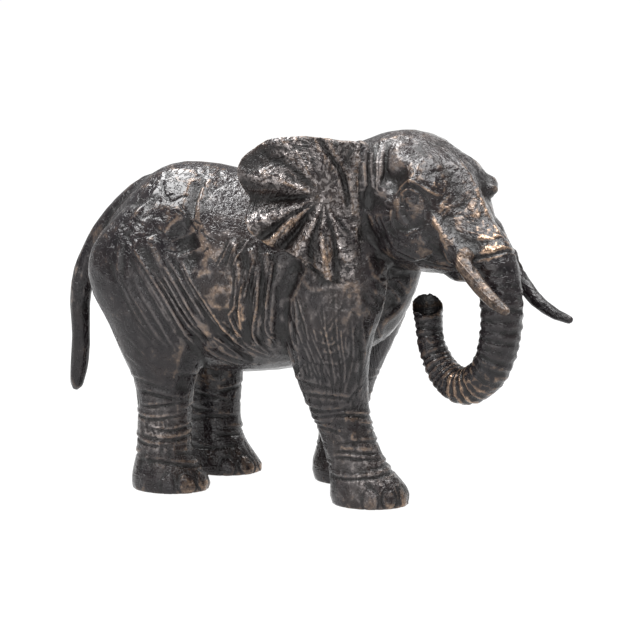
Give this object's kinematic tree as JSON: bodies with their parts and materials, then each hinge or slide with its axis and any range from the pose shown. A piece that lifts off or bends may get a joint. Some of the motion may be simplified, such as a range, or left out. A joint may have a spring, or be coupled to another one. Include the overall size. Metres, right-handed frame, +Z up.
{
  "type": "elephant figurine",
  "caption": "Shelf figurine of a walking elephant in dark cast iron, head turned to its right, one ear flared, tusks forward and trunk curled under with an open tip.",
  "frame": {"origin": "the middle of the bounding box's base, on the surface the figurine stands on", "axes": "+X the way the body walks, +Y the animal's left, +Z up"},
  "size_m": [0.2238, 0.1022, 0.1495],
  "materials": {
    "dark_iron": "near-black brown patina, semi-gloss, with worn bronze highlights on raised edges"
  },
  "bodies": {
    "root": {"elephant": "dark_iron"}
  },
  "joints": []
}
